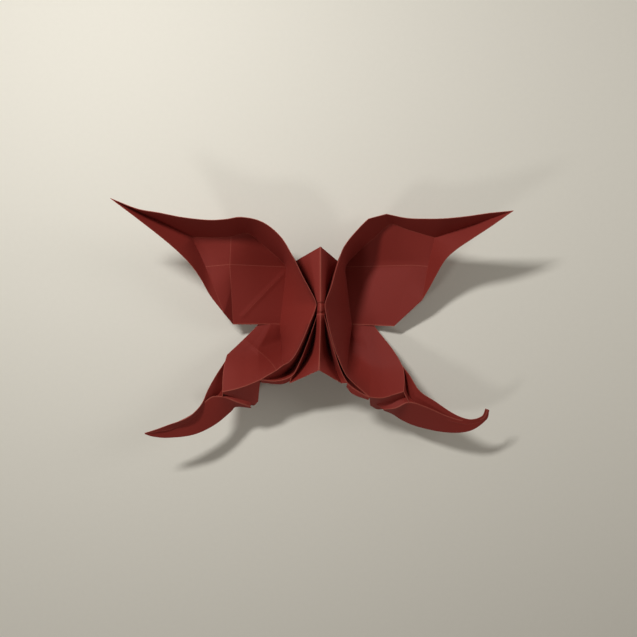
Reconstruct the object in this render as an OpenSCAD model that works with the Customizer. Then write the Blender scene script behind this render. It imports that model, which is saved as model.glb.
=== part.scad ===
// Butterfly folded from one square of dyed paper, lying on its lower folds, wings cupped upwards.
// All places are given as [out from the centre line, ahead of the waist, up from the table].
// The left half is drawn on the right-hand side and mirrored.

/* [Paper] */
// Thickness of the sheet
paper_t = 0.24; // [0.16:0.02:0.4]

/* [Body] */
// Height of the waist, where all the pleats are pinched together
waist_h = 17; // [15:0.5:20]
// Length of the pinched roll at the waist
roll_l = 3.8; // [2:0.2:6]
// Half the width of the pinched roll
roll_half_w = 1.1; // [0.7:0.1:1.6]
// Depth of the pleats at the waist
pleat_depth = 7; // [4:0.5:10]
// Reach of the head end of the body ridge ahead of the waist
head_ahead = 16.3; // [12:0.5:22]
// Height of the head end of the ridge
head_h = 15.5; // [11:0.5:20]
// Reach of the tail end of the body ridge behind the waist
abdomen_back = 18.8; // [15:0.1:23]
// Height of the tail end of the ridge
abdomen_h = 17.5; // [14:0.5:20]
// Height of the valley folds at the head end of the body
valley_h = 10; // [7.5:0.5:12]
// Half the width of the head end, to the left
left_head_half = 7.3; // [5.5:0.1:8.5]
// Half the width of the head end, to the right
right_head_half = 5; // [4:0.1:6.5]
// Half the width of the tail end, to the left
left_abdomen_half = 8.9; // [7:0.1:10]
// Half the width of the tail end, to the right
right_abdomen_half = 6; // [5:0.1:7.5]

/* [Folds on the table] */
// Distance of the left lowest fold from the centre line
left_foot_out = 11.7; // [10.5:0.1:13]
// Distance of the right lowest fold from the centre line
right_foot_out = 8.8; // [8:0.1:10]
// Reach of the lowest folds ahead of the waist
foot_ahead = 11.7; // [10.5:0.1:12.5]
// Reach of the lowest folds behind the waist
foot_behind = 11; // [9.5:0.1:12]
// Reach behind the waist of the step between forewing and hindwing
step_behind = 6; // [5:0.1:7]
// Height of that step above the table
step_h = 1.1; // [0.8:0.1:1.8]

/* [Left forewing] */
// Reach of the left wingtip out from the centre line
left_tip_out = 56.7; // [50:0.5:64]
// Reach of the left wingtip ahead of the waist
left_tip_ahead = 28.2; // [24:0.5:33]
// Height of the left wingtip
left_tip_h = 26; // [20:0.5:32]
// Distance of the left leading hump from the centre line
left_hump_out = 22.3; // [19:0.1:26]
// Reach of the left leading hump ahead of the waist
left_hump_ahead = 24.2; // [22:0.1:27]
// Height of the left leading hump
left_hump_h = 19; // [16:0.5:23]
// Distance of the left floor corner from the centre line
left_corner_out = 37.5; // [33:0.5:41]
// Reach of the left floor corner ahead of the waist
left_corner_ahead = 19.5; // [17:0.5:21]
// Height of the left floor corner
left_corner_h = 12; // [9.5:0.5:15]
// Distance of the left trailing corner from the centre line
left_trail_out = 26.3; // [22:0.5:30]
// Reach of the left trailing corner behind the waist
left_trail_back = 5.9; // [4:0.5:8]
// Height of the left trailing corner
left_trail_h = 5.4; // [4:0.2:8]

/* [Left hindwing] */
// Distance of the left hindwing corner from the centre line
left_hind_out = 27.9; // [25:0.1:31]
// Reach of the left hindwing corner behind the waist
left_hind_back = 25.1; // [23:0.1:28]
// Height of the left hindwing corner
left_hind_h = 15.5; // [12.5:0.5:18]
// Distance of the left tail tip from the centre line
left_tail_out = 49.8; // [44:0.1:58]
// Reach of the left tail tip behind the waist
left_tail_back = 36.7; // [33:0.1:42]
// Height of the left tail tip
left_tail_h = 17; // [13:0.5:21]

/* [Right forewing] */
// Reach of the right wingtip out from the centre line
right_tip_out = 52.4; // [46:0.5:60]
// Reach of the right wingtip ahead of the waist
right_tip_ahead = 25.1; // [22:0.5:30]
// Height of the right wingtip
right_tip_h = 24.5; // [19:0.5:30]
// Distance of the right leading peak from the centre line
right_hump_out = 18.6; // [16:0.1:22]
// Reach of the right leading peak ahead of the waist
right_hump_ahead = 25.3; // [23:0.1:28]
// Height of the right leading peak
right_hump_h = 17.5; // [15:0.5:21]
// Distance of the right floor corner from the centre line
right_corner_out = 33.4; // [30:0.5:37]
// Reach of the right floor corner ahead of the waist
right_corner_ahead = 19.4; // [17:0.5:21]
// Height of the right floor corner
right_corner_h = 11; // [8:0.5:14]
// Distance of the right trailing corner from the centre line
right_trail_out = 22.3; // [19:0.5:26]
// Reach of the right trailing corner behind the waist
right_trail_back = 6.5; // [4.5:0.5:8.5]
// Height of the right trailing corner
right_trail_h = 4.1; // [3:0.1:6]

/* [Right hindwing] */
// Distance of the right hindwing corner from the centre line
right_hind_out = 23.8; // [21:0.1:27]
// Reach of the right hindwing corner behind the waist
right_hind_back = 25.2; // [23:0.1:28]
// Height of the right hindwing corner
right_hind_h = 14.5; // [11.5:0.5:17]
// Distance of the right tail tip from the centre line
right_tail_out = 47.9; // [42:0.1:55]
// Reach of the right tail tip behind the waist
right_tail_back = 30.2; // [27:0.1:35]
// Height of the right tail tip
right_tail_h = 14.5; // [11:0.5:18]

/* [Hidden] */

// Straight pieces between two given points of a fold line
steps = 1;
// Half the width of a fold, a little over half the sheet on every side of its eight-sided bead
fold_r = 1.05 * paper_t;
// Least width of a face where it runs out to a point
point_w = 0.25;
// Height of the middle of the sheet where the lowest folds touch the table
low_h = fold_r + 0.02;

// Which given point of the rim line is the start of the lobe, the waist, the place where the
// foot line ends, the turn of the hindwing and the hindwing corner
rim_lobe = 9;
rim_waist = 12;
rim_low = 19;
rim_bend = 22;
rim_hind = 25;
// Which given point of the foot line is the floor corner, the top of the soft crease,
// the deepest corner, the front and back of the standing fold, and the end at the rim
foot_corner = 3;
foot_top = 5;
foot_deep = 8;
foot_lobe = 9;
foot_gap = 14;
foot_end = 19;

// A point part of the way from a to b, moved aside by d
function on(a, b, f, d = [0, 0, 0]) = a + f * (b - a) + d;

// Places of the left wing
left_tip = [left_tip_out, left_tip_ahead, left_tip_h];
left_hump = [left_hump_out, left_hump_ahead, left_hump_h];
left_corner = [left_corner_out, left_corner_ahead, left_corner_h];
left_trail = [left_trail_out, -left_trail_back, left_trail_h];
left_hind = [left_hind_out, -left_hind_back, left_hind_h];
left_tail = [left_tail_out, -left_tail_back, left_tail_h];

// Places of the right wing
right_tip = [right_tip_out, right_tip_ahead, right_tip_h];
right_hump = [right_hump_out, right_hump_ahead, right_hump_h];
right_corner = [right_corner_out, right_corner_ahead, right_corner_h];
right_trail = [right_trail_out, -right_trail_back, right_trail_h];
right_hind = [right_hind_out, -right_hind_back, right_hind_h];
right_tail = [right_tail_out, -right_tail_back, right_tail_h];

// The middle line of the body
head_end = [0, head_ahead, head_h];
waist_front = [0, 0.6, waist_h];
waist_back = [0, 0.6 - roll_l, waist_h];
abdomen_end = [-0.4, -abdomen_back, abdomen_h];

// Smooth line through points: each span is a cubic whose ends follow the neighbours.
// A point with a fourth value of 1 is a sharp corner.
function xyz(p) = [p[0], p[1], p[2]];
function sharp(p) = len(p) > 3;
function slope(q, i) =
    let (a = xyz(q[max(i - 1, 0)]), b = xyz(q[min(i + 1, len(q) - 1)]), m = xyz(q[i]))
    (b - a) / (norm(b - m) + norm(m - a));
function start_slope(q, i) =
    i == 0 || sharp(q[i]) ? (xyz(q[i + 1]) - xyz(q[i])) / norm(xyz(q[i + 1]) - xyz(q[i])) : slope(q, i);
function end_slope(q, i) =
    i == len(q) - 1 || sharp(q[i]) ? (xyz(q[i]) - xyz(q[i - 1])) / norm(xyz(q[i]) - xyz(q[i - 1])) : slope(q, i);
function cubic(a, b, s, e, t) =
    (2 * t * t * t - 3 * t * t + 1) * a + (t * t * t - 2 * t * t + t) * s
    + (3 * t * t - 2 * t * t * t) * b + (t * t * t - t * t) * e;
function smooth(q, n = steps) = [
    for (i = [0 : len(q) - 2])
        let (a = xyz(q[i]), b = xyz(q[i + 1]), l = norm(b - a))
            for (k = [0 : n - 1])
                cubic(a, b, l * start_slope(q, i), l * end_slope(q, i + 1), k / n),
    xyz(q[len(q) - 1])
];
function straight(a, b, n) = [for (k = [0 : n]) on(xyz(a), xyz(b), k / n)];
function part_of(line, from, to) = [for (i = [from : to]) line[i]];
function thinned(line) = [for (i = [0 : steps : len(line) - 1]) line[i]];
function backwards(line) = [for (i = [len(line) - 1 : -1 : 0]) line[i]];

// A face of the sheet stretched between four lines: near and far run the same way,
// first and last join their two ends
function stretched(near, far, first, last) =
    let (m = len(near) - 1, n = len(first) - 1)
    [for (i = [0 : m]) [for (j = [0 : n])
        let (u = i / m, v = j / n)
        (1 - v) * near[i] + v * far[i] + (1 - u) * first[j] + u * last[j]
        - (1 - u) * (1 - v) * near[0] - (1 - u) * v * far[0]
        - u * (1 - v) * near[m] - u * v * far[m]]];
function ruled(near, far, n = 1) =
    stretched(near, far, straight(near[0], far[0], n), straight(near[len(near) - 1], far[len(far) - 1], n));

// Direction square to the face at one of its points
function square_to(g, i, j) =
    let (
        du = g[min(i + 1, len(g) - 1)][j] - g[max(i - 1, 0)][j],
        dv = g[i][min(j + 1, len(g[0]) - 1)] - g[i][max(j - 1, 0)],
        c = cross(du, dv)
    ) c / norm(c);

// One face of the sheet, given as a grid of points through the middle of its thickness
module face(g) {
    m = len(g) - 1;
    n = len(g[0]) - 1;
    row = n + 1;
    under = (m + 1) * row;
    upper_points = [for (i = [0 : m]) for (j = [0 : n]) g[i][j] + square_to(g, i, j) * paper_t / 2];
    lower_points = [for (i = [0 : m]) for (j = [0 : n]) g[i][j] - square_to(g, i, j) * paper_t / 2];
    upper_faces = [
        for (i = [0 : m - 1]) for (j = [0 : n - 1])
            for (f = [[0, 1, row + 1], [0, row + 1, row]]) [for (k = f) i * row + j + k]
    ];
    lower_faces = [for (f = upper_faces) [f[2] + under, f[1] + under, f[0] + under]];
    rim = concat(
        [for (j = [0 : n - 1]) j],
        [for (i = [0 : m - 1]) i * row + n],
        [for (j = [n : -1 : 1]) m * row + j],
        [for (i = [m : -1 : 1]) i * row]
    );
    rim_faces = [
        for (k = [0 : len(rim) - 1])
            let (a = rim[k], b = rim[(k + 1) % len(rim)])
                for (f = [[b, a, a + under], [b, a + under, b + under]]) f
    ];
    polyhedron(concat(upper_points, lower_points), concat(upper_faces, lower_faces, rim_faces), convexity = 8);
}

// The rounded edge of a fold: a chain of short bars along the line
module fold(line) {
    for (i = [0 : len(line) - 2])
        hull() {
            translate(line[i]) fold_bead();
            translate(line[i + 1]) fold_bead();
        }
}

module fold_bead() {
    polyhedron(
        [[fold_r, 0, 0], [-fold_r, 0, 0], [0, fold_r, 0], [0, -fold_r, 0], [0, 0, fold_r], [0, 0, -fold_r]],
        [[4, 2, 0], [4, 1, 2], [4, 3, 1], [4, 0, 3], [5, 0, 2], [5, 2, 1], [5, 1, 3], [5, 3, 0]]
    );
}

// How each line leaves the straight way between its two ends:
// every entry is [share of the way, shift out, shift ahead, shift up]
function through(a, b, bows) = [for (w = bows) on(a, b, w[0], [w[1], w[2], w[3]])];
function pick(side, l, r) = side == "left" ? l : r;
function corner(p) = concat(xyz(p), [1]);

// Named places of one wing
function tip(side) = pick(side, left_tip, right_tip);
function hump(side) = pick(side, left_hump, right_hump);
function floor_corner(side) = pick(side, left_corner, right_corner);
function trail(side) = pick(side, left_trail, right_trail);
function hind(side) = pick(side, left_hind, right_hind);
function tail(side) = pick(side, left_tail, right_tail);
function waist(side) = [roll_half_w + 0.2, 0.1, waist_h];
function foot_front(side) = [pick(side, left_foot_out, right_foot_out) - 1, foot_ahead, low_h];
function foot_back(side) = [pick(side, left_foot_out, right_foot_out) + 0.3, -foot_behind, low_h];
function foot_step(side) = [pick(side, left_foot_out, right_foot_out) + 0.8, -step_behind, step_h];
function crease_end(side) = pick(side,
    on(trail(side), floor_corner(side), 0.15, [0.6, -0.5, 2.3]),
    on(trail(side), floor_corner(side), 0.45, [2.9, -3.9, 0.3]));
function rim_meet(side) = pick(side,
    on(waist(side), hind(side), 0.45, [-2.8, -6.1, 0.5]),
    on(waist(side), hind(side), 0.5, [-5.1, -7.9, 0.4]));
function rim_turn(side) = pick(side,
    on(waist(side), hind(side), 0.7, [-2.9, -3.9, 1.8]),
    on(waist(side), hind(side), 0.75, [-4.3, -7.7, 1]));
function hind_start(side) = pick(side,
    on(foot_step(side), hind(side), 0.2, [3.3, 4, -1.6]),
    on(foot_step(side), hind(side), 0.2, [4.2, 3.1, -1.5]));
function tail_start(side) = pick(side,
    on(foot_step(side), hind(side), 0.8, [3.2, 4.5, -2.7]),
    on(foot_step(side), hind(side), 0.8, [3.1, 3.3, -2.8]));

// Upper line of the inner wall: leading edge, hump, waist and rim of the hindwing
function rim_line(side) = smooth(concat(
    [tip(side)],
    through(tip(side), hump(side), pick(side,
        [[0.2, 0, -1.8, 0], [0.36, 0, -2, -0.2], [0.54, 0, -2.3, -0.6], [0.74, 0, -2, -0.8], [0.87, 0, -1.2, -0.5]],
        [[0.19, 0, -0.5, 0], [0.35, 0, -1.2, 0.1], [0.53, 0, -1.6, -0.4], [0.69, 0, -1.4, -1.5], [0.84, 0.2, -1, -1.8]])),
    [pick(side, hump(side), corner(hump(side)))],
    through(hump(side), waist(side), pick(side,
        [[0.15, -2.6, 2.4, -0.2], [0.35, -3.4, 3.4, -0.2], [0.55, -2.6, 2.9, -0.2], [0.77, -1.2, 1.7, 0], [0.88, -0.8, 0.9, -0.1]],
        [[0.16, -2.3, 2.7, 0.1], [0.25, -3.1, 2.7, 0], [0.5, -3.2, 3.6, 0], [0.7, -1.8, 3.1, -0.1], [0.87, -0.5, 1.5, 0.1]])),
    [waist(side)],
    through(waist(side), rim_meet(side), pick(side,
        [[0.13, -0.7, -0.1, 0.3], [0.32, -1, -0.3, 0.5], [0.52, -1.4, -0.4, 0.7], [0.74, -1.6, -0.4, 0.7],
            [0.88, -1.4, -0.3, 0.7], [0.95, -0.7, -0.3, 0.4]],
        [[0.13, -0.6, 0, 0.5], [0.3, -0.9, -0.1, 0.7], [0.48, -1.1, 0, 1], [0.65, -1.1, 0, 1],
            [0.82, -0.8, 0.1, 0.9], [0.92, -0.4, -0.1, 0.5]])),
    [rim_meet(side)],
    through(rim_meet(side), rim_turn(side), [[0.32, 0, -0.2, 0], [0.66, 0, -0.1, 0]]),
    [pick(side, rim_turn(side), corner(rim_turn(side)))],
    through(rim_turn(side), hind(side), pick(side,
        [[0.4, 0, -0.4, 0.5], [0.73, 0, -0.3, 0.6]],
        [[0.37, 0, -0.8, 0], [0.7, 0, -0.4, 0]])),
    [hind(side)]));

// Lower line of the same wall: valley of the tip, edge of the floor and the fold that touches the table
function foot_line(side) = smooth(concat(
    [tip(side)],
    through(tip(side), floor_corner(side), [[0.35, 0, 0, 0], [0.65, 0, 0, 0]]),
    [corner(floor_corner(side))],
    through(floor_corner(side), foot_front(side), pick(side,
        [[0.24, -0.1, 1.7, 2.4], [0.42, -0.1, 3.5, 3.8], [0.6, 0, 6, 5.2], [0.76, 0, 4.1, 3.6], [0.93, 0, 1.7, 1.6]],
        [[0.19, 0, 2.8, 2.6], [0.36, 0, 5.3, 5.1], [0.51, 0, 7.6, 7.5], [0.67, 0, 5.7, 5.5], [0.87, 0, 3, 2.4]])),
    [foot_front(side)],
    through(foot_front(side), foot_step(side),
        [[0.28, -0.2, 0, 0.1], [0.5, -0.2, 0, 0.3], [0.68, -0.2, 0, 0.4], [0.85, -0.1, 0, 0.4]]),
    [corner(foot_step(side))],
    through(foot_step(side), foot_back(side), [[0.5, 0.1, 0, -0.2]]),
    [foot_back(side)],
    through(foot_back(side), rim_meet(side), pick(side,
        [[0.4, 0.4, -0.6, -4.2], [0.8, 0.5, -0.2, -4.2]],
        [[0.35, 0, 0, -3.6], [0.75, 0, 0, -3.6]])),
    [rim_meet(side)]));

// Cut edge of the forewing from the tip to where the outer wall runs out
function outer_edge(side) = smooth(concat(
    [tip(side)],
    through(tip(side), crease_end(side), pick(side,
        [[0.21, -0.9, 1.2, 1.1], [0.4, -1.6, 2.1, 0.9], [0.52, -1.7, 2.6, 0.7], [0.64, -1.6, 2.7, 0.4],
            [0.76, -0.8, 2.3, 0.1], [0.87, 0, 1, -0.3]],
        [[0.22, -1.2, 0.9, 1.2], [0.42, -1.2, 2.7, 2.4], [0.57, -1.2, 3.9, 2.3], [0.7, -1, 4.4, 2.4],
            [0.82, -0.2, 3.6, 1.6], [0.92, 0.3, 2.1, 0.7]])),
    [crease_end(side)]));

// Fold between the floor and the outer wall
function outer_fold(side) = smooth(concat(
    [floor_corner(side)],
    through(floor_corner(side), crease_end(side), pick(side,
        [[0.2, 0.2, 0.8, -0.9], [0.42, 0.1, 0.8, -0.8], [0.72, 0, 0.9, 0.2]],
        [[0.2, -0.1, 0, -0.3], [0.45, -0.2, 0, -0.9], [0.74, -0.1, 0, -0.8]])),
    [crease_end(side)]));

// Soft crease that runs out along the forewing floor to its trailing corner
function floor_cross(side) = on(foot_line(side)[foot_top * steps], trail(side), pick(side, 0.31, 0.36),
    pick(side, [0.6, 0, -0.3], [3.6, 0, -2.2]));

// Hidden pleat between the forewing and the hindwing
function pleat_in(side) = on(foot_step(side), foot_front(side), 0.25, [0, 0, -0.2]);
function pleat_out(side) = on(foot_step(side), trail(side), pick(side, 0.3, 0.35), [0, 4, -0.5]);

// Outer line of the hindwing: cut edge from the hidden pleat, then the fold up to the corner
function hind_outer(side) = smooth(concat(
    [pleat_out(side), hind_start(side)],
    through(foot_step(side), hind(side), pick(side,
        [[0.4, 3.5, 4.2, -2.3], [0.7, 4.4, 4.4, -2.6]],
        [[0.4, 3.6, 3.9, -2.3], [0.6, 3.5, 4, -2.5]])),
    [tail_start(side)],
    [on(foot_step(side), hind(side), 0.9, pick(side, [1.9, 2, -1.3], [2, 1.5, -1.4]))],
    [hind(side)]));

// Lines of the tail, all from the root to the tip
function tail_outer(side) = smooth(concat(
    [tail_start(side)],
    through(tail_start(side), tail(side), pick(side,
        [[0.15, -0.7, -1.3, 1.1], [0.3, -2.2, -1.9, 2.2], [0.45, -3.8, -3, 3.1], [0.6, -3.6, -3.4, 2.8],
            [0.8, -2.1, -1.7, 1.5], [0.92, -0.9, -0.7, 0.6]],
        [[0.12, -0.9, -1.3, 1.2], [0.28, -2.1, -3.7, 2.7], [0.45, -2, -4.4, 2.6], [0.68, -1.7, -5.4, 1.1],
            [0.84, -1, -5, 0], [0.95, -0.3, -2.7, -0.4]])),
    [tail(side) + pick(side, [0, 0.1, 0.1], [-0.6, 0.2, 0])]));
function tail_keel(side) = smooth(concat(
    [tail_start(side)],
    through(tail_start(side), tail(side), pick(side,
        [[0.1, -2, -2.3, -1.1], [0.2, -3.6, -4, -0.8], [0.35, -4.5, -4.3, -0.2], [0.5, -3.3, -5.5, 0.8],
            [0.75, -2.3, -3.8, 0.3], [0.9, -1, -1.6, 0.3]],
        [[0.08, -1.1, -2.2, -0.6], [0.18, -3, -5.7, 0.2], [0.35, -4.1, -7.2, 0.8], [0.6, -2.9, -7.6, 0.5],
            [0.8, -1.5, -6.9, -0.5], [0.95, -0.1, -4.1, -1.1]])),
    [tail(side) + pick(side, [0, -0.1, -0.2], [0, -0.2, -0.2])]));
function tail_ridge(side) = smooth(concat(
    through(hind(side), tail(side), pick(side,
        [[-0.33, -0.2, -8.6, -3.9], [-0.17, -0.1, -5.3, -2.5], [0.01, 0, -1.4, -0.6], [0.2, -0.9, 0.7, -0.5],
            [0.4, -0.2, -1.7, -1.1], [0.7, 0, -1.5, -0.7], [0.87, 0, -0.6, -0.3]],
        [[-0.22, -0.3, -6.5, -2.7], [-0.08, -0.2, -5.3, -1.6], [0.06, 0.2, -2.8, -0.4], [0.26, 0, -3, -0.2],
            [0.55, 0.1, -4.6, -0.9], [0.77, -0.1, -4.7, -1.2], [0.95, 0.1, -3, -1]])),
    [tail(side)]));
function tail_lower(side) = smooth(concat(
    through(hind(side), tail(side), pick(side,
        [[-0.33, -0.4, -9.1, -4.4], [-0.15, 0.2, -6.7, -4.6], [-0.05, -0.6, -6.9, -5], [0.2, -1.2, -7.9, -4.4],
            [0.45, -0.9, -7.5, -3.3], [0.75, -0.4, -4.6, -2.1], [0.92, -0.1, -2, -1]],
        [[-0.22, -0.1, -6.9, -3.4], [-0.1, -0.3, -7.6, -5.2], [0.04, -0.5, -9, -6.7], [0.22, -0.2, -10, -6.7],
            [0.55, 0.2, -9.7, -4.6], [0.82, 0, -7.5, -2.6], [0.98, 0.6, -3.2, -1.5]])),
    [tail(side) + pick(side, [0, -0.2, -0.1], [0.5, -0.3, -0.1])]));

// Lower edge of the panel folded down below the rim of the hindwing
function panel_edge(side) = smooth(through(rim_turn(side), hind(side), pick(side,
    [[0, 1.1, -6.9, -5.6], [0.3, -0.5, -7.1, -6.6], [0.65, -0.3, -3.6, -3.6], [1, -0.1, -0.6, -0.4]],
    [[0, 0.7, -3.1, -6], [0.3, 0.3, -4.9, -7.4], [0.75, 0.3, -4.5, -5.5], [1, 0.9, -3.4, -3.5]])));

// Fold beside the abdomen and the lip that carries it on to the rim of the hindwing
function lip_line(side, n) = smooth(concat(
    [[roll_half_w, waist_back[1] - 0.4, waist_h - 1]],
    through(waist(side), rim_turn(side), pick(side,
        [[0.4, -4.1, -2, -1.6], [0.7, -5.7, -3.1, -2.5], [0.8, -5.5, -3.6, -2.9], [0.9, -2.8, -2.7, -1.7]],
        [[0.35, -2.9, -0.4, -0.2], [0.65, -4.1, -0.8, -0.5], [0.82, -3.9, -0.8, -0.7], [0.92, -2.3, -0.4, -0.7]])),
    [rim_turn(side)]), n);
function lip_hem(side) = [
    for (w = [[3, -0.3, -1.2, -1.2], [4, -1.4, -1, -1.4], [5, -0.2, -0.9, -1]])
        lip_line(side, 1)[w[0]] + [w[1], w[2], w[3]]
];

// Valley behind the inner wall of the hindwing
function pocket_line(side, n) = smooth(concat(
    [[roll_half_w + 0.1, waist_back[1] - 0.4, waist_h - pleat_depth]],
    through(waist(side), rim_turn(side), pick(side,
        [[0.4, -4.1, -1.5, -9.5], [0.7, -5.9, -1.5, -9.5], [0.8, -4.7, -2.4, -7.9], [0.92, -2.8, -1.5, -4.1]],
        [[0.35, -2.8, -0.5, -8.2], [0.65, -4.4, 0.8, -7.3], [0.82, -3.9, 0.4, -5.2], [0.92, -2.3, 0, -2.7]])),
    [rim_turn(side)]), n);

// Valleys of the body, from the waist to both ends
function body_side(side) = pick(side, 1, -1);
function head_valley_start() = [roll_half_w + 0.2, waist_front[1] - 0.3, waist_h - pleat_depth];
function head_valley_end(side) = [pick(side, left_head_half, right_head_half), head_ahead - 3.6, valley_h];
function head_valley(side, n) = straight(head_valley_start(), head_valley_end(side), n);
// The valley beside the abdomen keeps close to the ridge and flares out near the tail end
function abdomen_valley_start() = [roll_half_w, waist_back[1] - 0.4, waist_h - pleat_depth + 1];
function abdomen_valley_end(side) =
    [pick(side, left_abdomen_half, right_abdomen_half), -abdomen_back - 4, abdomen_h - 3.5];
function abdomen_valley(side, n) = smooth(concat(
    [abdomen_valley_start()],
    through(abdomen_valley_start(), abdomen_valley_end(side), pick(side,
        [[0.35, -2, 0.8, -4.5], [0.7, -3, 2.2, -5.5]],
        [[0.35, -1.1, 0.8, -4.5], [0.7, -1.6, 2.2, -5.5]])),
    [abdomen_valley_end(side)]), n);
function mirrored(p, side) = [body_side(side) * -p[0], p[1], p[2]];

// Middle line of the pinched roll, with a small dent at both pinches
function roll_ridge() = smooth([
    waist_front, waist_front + [0, -0.5, -0.5], waist_front + [0, -1.1, 0.1],
    waist_back + [0, 1.1, 0.1], waist_back + [0, 0.5, -0.4], waist_back
]);

// The forewing floor: an outer strip, then an upper and a lower panel that meet at a soft crease
function floor_grid(side) =
    let (
        foot = thinned(foot_line(side)),
        crease = thinned(outer_fold(side)),
        cross_point = floor_cross(side),
        last_edge = on(trail(side), crease_end(side), 0.1),
        soft_crease = concat(
            [foot[foot_top]],
            straight(cross_point, trail(side), foot_gap - foot_lobe)),
        strip = stretched(
            concat(crease, [on(crease_end(side), last_edge, 0.5), last_edge]),
            soft_crease,
            part_of(foot, foot_corner, foot_top),
            straight(last_edge, trail(side), 2)),
        upper = stretched(
            part_of(soft_crease, 0, 1),
            part_of(foot, foot_deep, foot_lobe),
            part_of(foot, foot_top, foot_deep),
            straight(cross_point, foot[foot_lobe], 3)),
        lower = stretched(
            part_of(soft_crease, 1, 6),
            part_of(foot, foot_lobe, foot_gap),
            straight(cross_point, foot[foot_lobe], 3),
            straight(trail(side), foot[foot_gap], 3))
    )
    [for (i = [0 : 6]) concat(strip[i], part_of(i < 1 ? upper[i] : lower[i - 1], 1, 3))];

module forewing(side) {
    rim = rim_line(side);
    foot = foot_line(side);
    outer = outer_edge(side);
    crease = outer_fold(side);
    // Leading and inner wall, one sweep from the tip round to the hindwing
    face(ruled(
        concat([rim[0] + [0, 0, point_w]], part_of(rim, 1, rim_low * steps)),
        concat(part_of(foot, 0, foot_end * steps - 1), [foot[foot_end * steps] - [0, 0, point_w]]), 2));
    // Outer wall
    face(ruled(
        concat([outer[0] - [0, point_w, 0]], part_of(outer, 1, 7 * steps)),
        concat(part_of(foot, 0, foot_corner * steps), part_of(crease, 1, 4 * steps - 1),
            [crease_end(side) + [-point_w, point_w, 0]])));
    face(floor_grid(side));
    // Pleat folded under the trailing edge
    face(ruled(
        straight(trail(side), foot_step(side), 2),
        straight(pleat_out(side), pleat_in(side), 2)));
    fold(foot);
    fold(crease);
    fold([trail(side), foot_step(side)]);
    fold([pleat_out(side), pleat_in(side)]);
}

module hindwing(side) {
    rim = rim_line(side);
    foot = foot_line(side);
    face(stretched(
        concat(
            part_of(straight(pleat_in(side), foot_step(side), steps), 0, steps - 1),
            part_of(foot, foot_gap * steps, foot_end * steps)),
        hind_outer(side),
        straight(pleat_in(side), pleat_out(side), 6),
        thinned(part_of(rim, rim_low * steps, rim_hind * steps))));
}

module back_walls(side) {
    rim = rim_line(side);
    pocket = pocket_line(side, 2 * steps);
    lip = lip_line(side, 2 * steps);
    // Behind the forewing's inner wall
    face(ruled(part_of(rim, rim_lobe * steps, rim_waist * steps), backwards(head_valley(side, 3 * steps))));
    // Behind the hindwing's inner wall, down into the pocket and up to the lip
    face(ruled(part_of(rim, rim_waist * steps, rim_bend * steps - 1), part_of(pocket, 0, 10 * steps - 1)));
    face(ruled(part_of(lip, 0, 10 * steps - 1), part_of(pocket, 0, 10 * steps - 1)));
    // From the fold beside the abdomen down to the valley of the body
    face(ruled(part_of(lip, 0, 6 * steps), abdomen_valley(side, 2 * steps)));
    face(ruled([lip[6 * steps], lip[8 * steps], lip[10 * steps]], lip_hem(side)));
    fold(part_of(rim, rim_lobe * steps, rim_hind * steps));
    fold(pocket);
    fold(lip);
    fold(head_valley(side, 1));
    fold(abdomen_valley(side, 2 * steps));
}

module body(side) {
    head_line = straight(waist_front, head_end, 4);
    tail_line = straight(waist_back, mirrored(abdomen_end, side), 6 * steps);
    shoulder = [roll_half_w, 0, -0.9];
    front_pinch = [waist_front, waist_front + shoulder, head_valley_start()];
    back_pinch = [waist_back, waist_back + shoulder, abdomen_valley_start()];
    face(stretched(head_line, head_valley(side, 4), front_pinch,
        straight(head_end, head_valley_end(side), 2)));
    face(stretched(tail_line, abdomen_valley(side, 2 * steps), back_pinch,
        straight(mirrored(abdomen_end, side), abdomen_valley_end(side), 2)));
    fold(front_pinch);
    fold(back_pinch);
    ridge = roll_ridge();
    face(stretched(ridge, straight(head_valley_start(), abdomen_valley_start(), len(ridge) - 1),
        front_pinch, back_pinch));
}

module tail_strip(side) {
    outer = tail_outer(side);
    keel = tail_keel(side);
    ridge = tail_ridge(side);
    lower = tail_lower(side);
    rim = rim_line(side);
    hinge = part_of(hind_outer(side), 4 * steps, 6 * steps);
    // Short wall from the hindwing down to the keel of the tail
    face(ruled(
        concat([hinge[0] + [0, 0, point_w]], part_of(hinge, 1, 2 * steps)),
        straight(keel[0], keel[steps], 2 * steps)));
    // Outer wall, with the cut edge on top
    face(ruled(concat([outer[0] + [0, 0, point_w]], part_of(outer, 1, 7 * steps)), keel));
    // Inner wall up to the ridge
    face(ruled(
        concat(straight(hind(side), ridge[2 * steps], steps), part_of(ridge, 2 * steps + 1, 7 * steps)),
        part_of(keel, steps, 7 * steps)));
    // Front panel
    face(ruled(ridge, lower));
    // Panel folded down below the rim of the hindwing, and the front panel carried on behind it
    face(ruled(part_of(rim, rim_bend * steps, rim_hind * steps), panel_edge(side), 2));
    face(ruled(
        [for (k = [0 : 2 * steps])
            on(rim[rim_bend * steps], rim[rim_hind * steps], k / (2 * steps), [0, -0.6, -4])],
        part_of(ridge, 0, 2 * steps)));
    fold(hinge);
    fold(keel);
    fold(concat([hind(side)], part_of(ridge, 2 * steps, 7 * steps)));
}

module half(side) {
    forewing(side);
    hindwing(side);
    back_walls(side);
    tail_strip(side);
    body(side);
}

module folded_sheet() {
    color("firebrick") {
        mirror([1, 0, 0]) half("left");
        half("right");
        fold([waist_front, head_end]);
        fold(roll_ridge());
        fold([waist_back, abdomen_end]);
    }
}

folded_sheet();
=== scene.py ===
# %% [markdown]
# # A butterfly folded from one square of red paper
# The real thing is a single sheet, pleated, pinched at the waist and cupped by hand.
# We draw it the way it was folded: first the fold lines, then the flat or gently curved
# faces that hang between them, then the thickness of the paper and the worn, rounded folds.
# The solid model is loaded first, at its own place and size, so we only follow it.

import math

import bpy
import numpy as np
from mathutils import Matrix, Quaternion, Vector


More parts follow.
